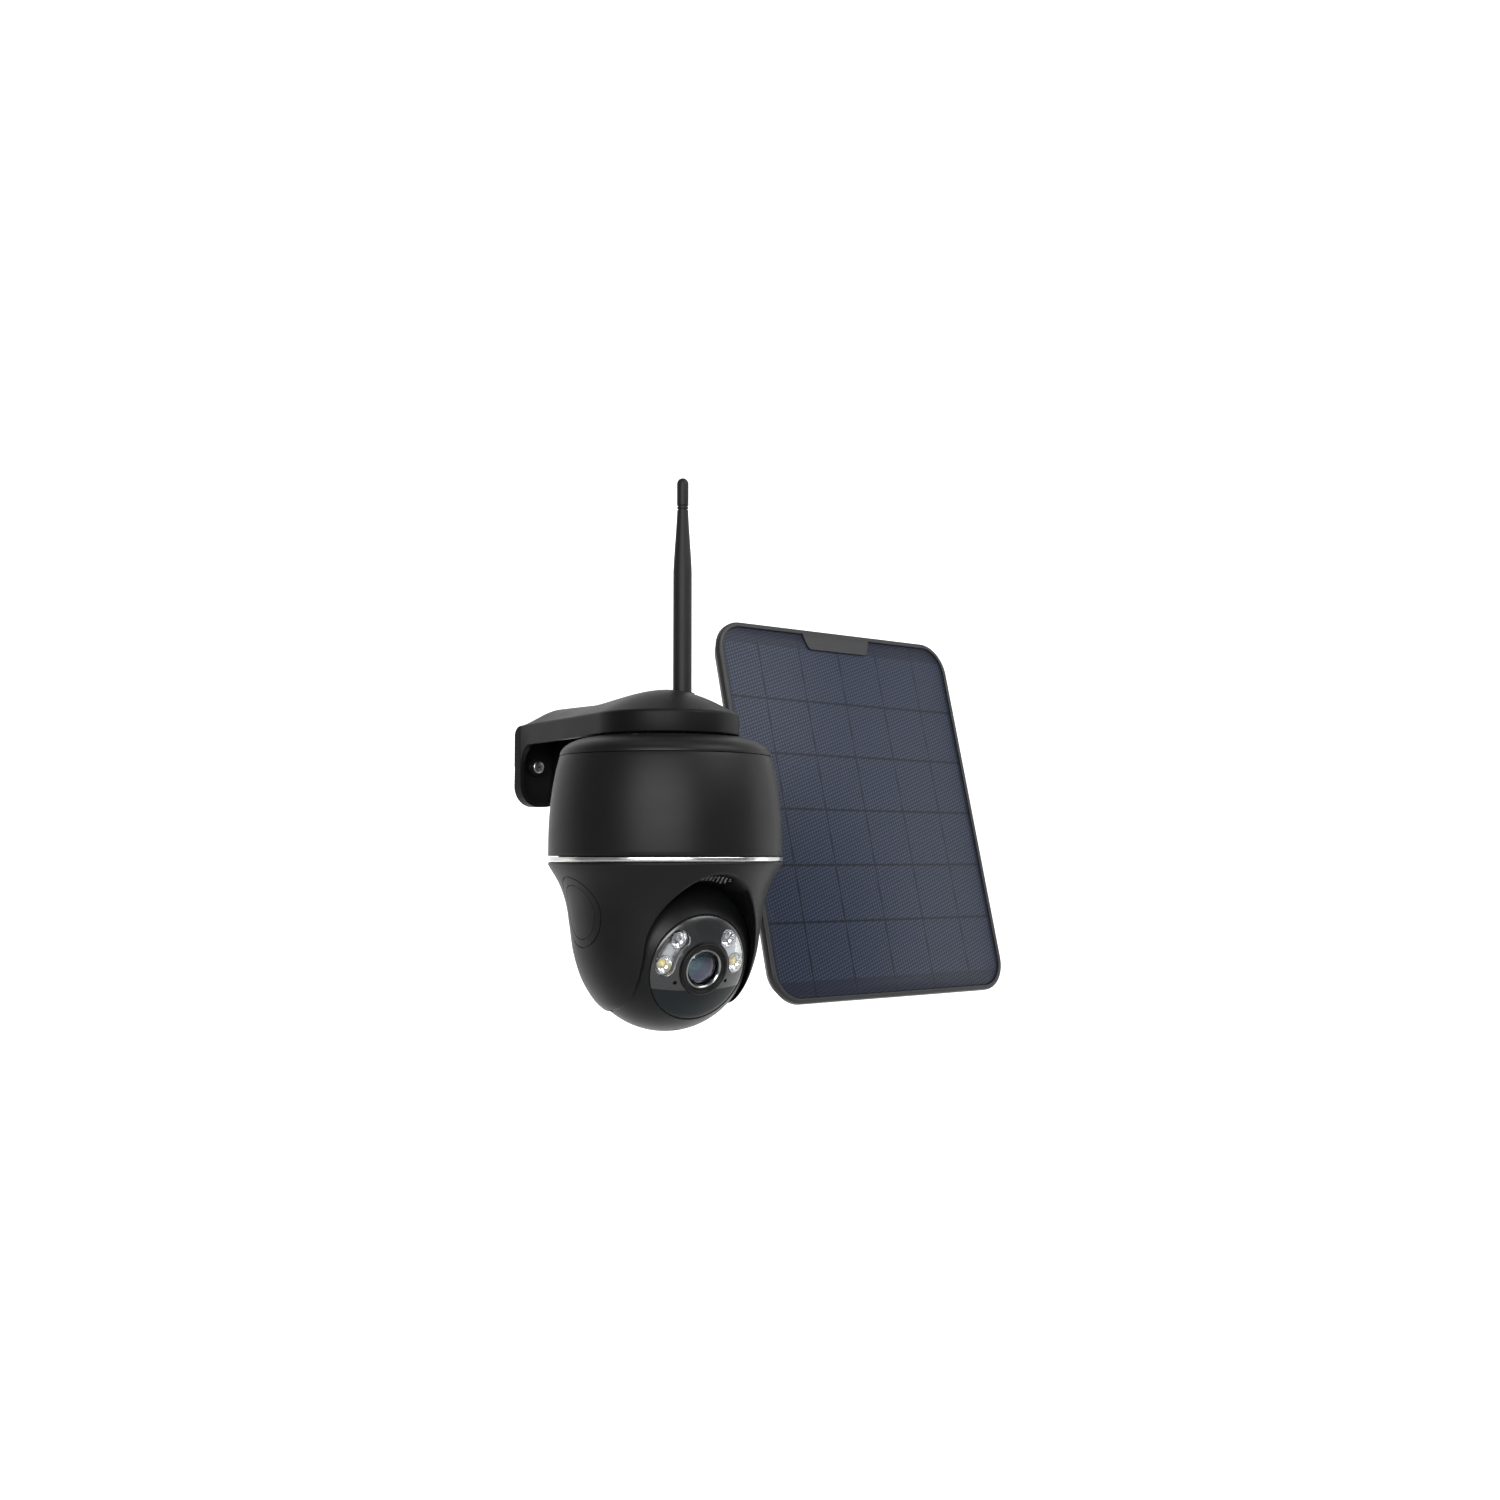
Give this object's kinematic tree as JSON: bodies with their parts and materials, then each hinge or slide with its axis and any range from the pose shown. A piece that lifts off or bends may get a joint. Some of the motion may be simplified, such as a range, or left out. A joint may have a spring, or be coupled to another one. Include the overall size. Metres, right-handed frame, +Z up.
{
  "type": "solar security camera",
  "caption": "Pan and tilt outdoor camera hanging from an arched wall bracket, with an antenna and a separate wall-mounted solar panel that leans and swivels.",
  "frame": {"origin": "on the wall plane, at the back face of the camera's wall bracket, 31 mm above the waist ring's top plane", "axes": "+Y into the wall, -Y towards the front, +Z up, +X to the side the solar panel is on"},
  "size_m": [0.284, 0.1432, 0.2353],
  "materials": {
    "housing": "fine matte moulded black plastic",
    "bracket": "fine matte moulded black plastic",
    "face": "polished black",
    "window": "clear, thin",
    "pir": "satin blue-black, lets infrared through",
    "lens": "coated lens glass",
    "chrome": "bright, finely turned",
    "rubber": "soft black rubber",
    "steel": "satin",
    "board": "green solder mask",
    "cell": "blue shrink wrap",
    "gear": "natural acetal",
    "motor": "satin",
    "brass": "machined",
    "chip_white": "phosphor yellow",
    "chip_ir": "clear epoxy",
    "frame": "satin dark grey",
    "case": "fine matte black",
    "cells": "navy cells under a finely textured clear film"
  },
  "bodies": {
    "root": {"wall_bracket": "bracket", "wall_screw": "steel", "mount_stud": "steel", "antenna_connector": "brass", "antenna_collar": "rubber", "antenna_sleeve": "rubber", "antenna_tip": "rubber", "barrel_shell": "housing", "top_cover": "housing", "cover_screw_1": "rubber", "cover_screw_2": "rubber", "cover_screw_3": "rubber", "cover_screw_4": "rubber", "base_plate": "housing", "trim_ring": "chrome", "main_board": "board", "battery_pack": "cell", "pan_motor": "motor", "charging_socket": "steel", "panel_wall_base": "bracket", "panel_base_screw_1": "steel", "panel_base_screw_2": "steel", "swivel_pin": "steel"},
    "power_button": {"power_button": "rubber"},
    "port_cover": {"port_cover": "rubber"},
    "pan_head": {"yoke_shell": "housing", "side_cover_left": "housing", "side_cover_right": "housing", "tilt_axle_left": "steel", "tilt_axle_right": "steel", "speaker": "motor", "turntable": "housing", "pan_gear": "gear", "tilt_gear": "gear"},
    "pan_pinion": {"pan_pinion": "brass"},
    "tilt_head": {"ball_front_shell": "housing", "ball_rear_shell": "housing", "faceplate": "face", "pir_window": "pir", "light_window_left": "window", "light_window_right": "window", "infrared_led_left": "chip_ir", "infrared_led_right": "chip_ir", "white_led_left": "chip_white", "white_led_right": "chip_white", "lens_bezel": "face", "lens_ring": "chrome", "lens_barrel": "motor", "lens_glass": "lens", "image_board": "board", "motion_sensor": "motor", "tilt_motor": "motor"},
    "tilt_pinion": {"tilt_pinion": "brass"},
    "panel_swivel": {"swivel_arm": "bracket"},
    "panel": {"panel_frame": "frame", "solar_laminate": "cells", "panel_back_case": "case", "cable_gland": "rubber", "panel_clevis": "bracket", "tilt_bolt": "steel"}
  },
  "joints": [
    {"name": "pan", "type": "hinge", "parent": "root", "child": "pan_head", "pos_m": [0, -0.094, -0.031], "axis": [0, 0, 1], "range_deg": [-167.9, 187.1]},
    {"name": "pan_pinion_spin", "type": "hinge", "parent": "root", "child": "pan_pinion", "pos_m": [-0.02488, -0.10306, -0.025], "axis": [0, 0, 1], "range_deg": [-500, 449]},
    {"name": "tilt", "type": "hinge", "parent": "pan_head", "child": "tilt_head", "pos_m": [0, -0.094, -0.068], "axis": [0.986, -0.1668, 0], "range_deg": [-31, 74]},
    {"name": "tilt_pinion_spin", "type": "hinge", "parent": "tilt_head", "child": "tilt_pinion", "pos_m": [0.00232, -0.08028, -0.06401], "axis": [0.986, -0.1668, 0], "range_deg": [-63, 149]},
    {"name": "button_press", "type": "slide", "parent": "root", "child": "power_button", "axis": [0.4067, -0.9135, 0], "range_m": [0, 0.0008], "stiffness_N_per_m": 2500},
    {"name": "port_cover_hinge", "type": "hinge", "parent": "root", "child": "port_cover", "pos_m": [0, -0.04596, -0.0212], "axis": [-1, 0, 0], "range_deg": [0, 95]},
    {"name": "panel_swivel", "type": "hinge", "parent": "root", "child": "panel_swivel", "pos_m": [0.154, -0.014, -0.0135], "axis": [0, 0, 1], "range_deg": [-15, 15]},
    {"name": "panel_tilt", "type": "hinge", "parent": "panel_swivel", "child": "panel", "pos_m": [0.154, -0.0405, -0.0135], "axis": [-1, 0, 0], "range_deg": [-13.5, 8.5]}
  ],
  "couplings": [
    {"joint": "pan_pinion_spin", "follows": "pan", "ratio": -2.6667},
    {"joint": "tilt_pinion_spin", "follows": "tilt", "ratio": 2}
  ]
}
